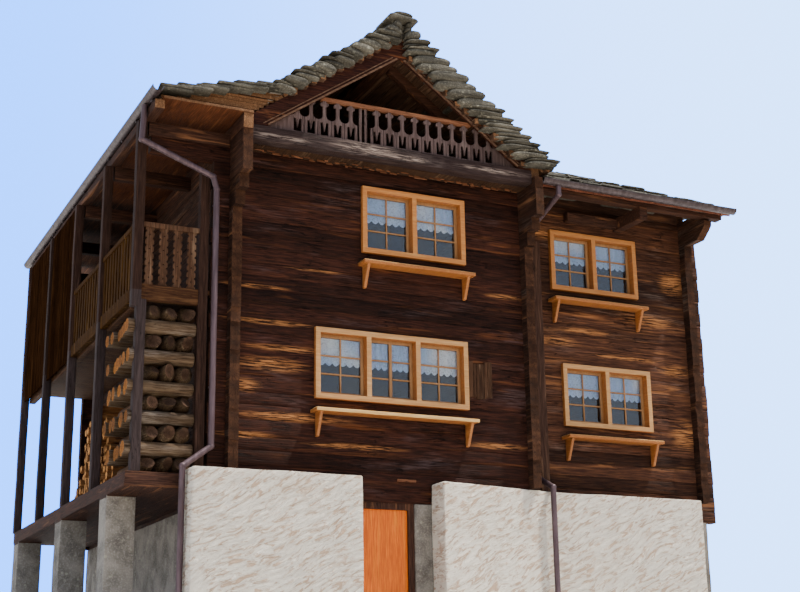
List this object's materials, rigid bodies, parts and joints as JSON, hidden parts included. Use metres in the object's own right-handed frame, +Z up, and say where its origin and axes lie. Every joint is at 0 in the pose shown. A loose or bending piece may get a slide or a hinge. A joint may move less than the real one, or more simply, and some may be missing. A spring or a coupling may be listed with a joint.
{
  "type": "alpine chalet",
  "caption": "Alpine timber chalet of squared logs on a white masonry base, with a slab roof, an open loft, a side gallery and a lower wing.",
  "frame": {"origin": "on the ground in the cellar doorway, in the plane of the main facade and under the main ridge line", "axes": "+Z up, +Y into the house at right angles to the main facade, +X along the facade towards the wing"},
  "size_m": [9.8987, 8.9, 9.0874],
  "materials": {
    "log_timber": "dark weathered squared logs",
    "grey_timber": "silver grey weathered timber",
    "pine_timber": "varnished pine, honey to orange",
    "firewood": "sawn and split cordwood",
    "slab_stone": "rough grey green stone slabs",
    "lime_plaster": "trowelled white lime plaster",
    "masonry": "rendered rubble masonry",
    "glass": "clear window glass",
    "sheet_metal": "oxidised dark sheet metal"
  },
  "bodies": {
    "house": {"threshold_stone": "masonry", "plinth_wall_left": "lime_plaster", "plinth_wall_right": "lime_plaster", "basement_side_walls": "masonry", "basement_cross_walls": "masonry", "basement_floor": "masonry", "front_wall": "log_timber", "left_wall": "log_timber", "right_wall": "log_timber", "rear_wall": "log_timber", "wing_front_wall": "log_timber", "wing_right_wall": "log_timber", "wing_rear_wall": "log_timber", "wing_corner_board": "grey_timber", "storey_floors": "pine_timber", "loft_floor": "grey_timber", "loft_beam": "grey_timber", "loft_balustrade": "grey_timber", "rake_boards": "log_timber", "rafters": "log_timber", "main_purlins": "log_timber", "wing_purlins": "log_timber", "roof_left": "slab_stone", "roof_right": "slab_stone", "ridge_slabs": "slab_stone", "gallery_roof": "slab_stone", "wing_roof": "slab_stone", "gallery_soffit": "pine_timber", "gallery_floor": "grey_timber", "gallery_posts": "grey_timber", "gallery_plate": "log_timber", "gallery_consoles": "log_timber", "gallery_front_balustrade": "grey_timber", "gallery_side_balustrade": "grey_timber", "gallery_boarding": "log_timber", "lower_deck": "grey_timber", "firewood_stack": "firewood", "window_frames": "pine_timber", "window_casements": "pine_timber", "window_glass": "glass", "window_shelves": "pine_timber", "door_frame": "pine_timber", "gutters": "sheet_metal", "downpipes": "sheet_metal"},
    "door": {"door_leaf": "pine_timber"}
  },
  "joints": [
    {"name": "cellar_door_hinge", "type": "hinge", "parent": "house", "child": "door", "pos_m": [-0.5375, 0.132, 0.3], "axis": [0, 0, 1], "range_deg": [0, 100]}
  ]
}
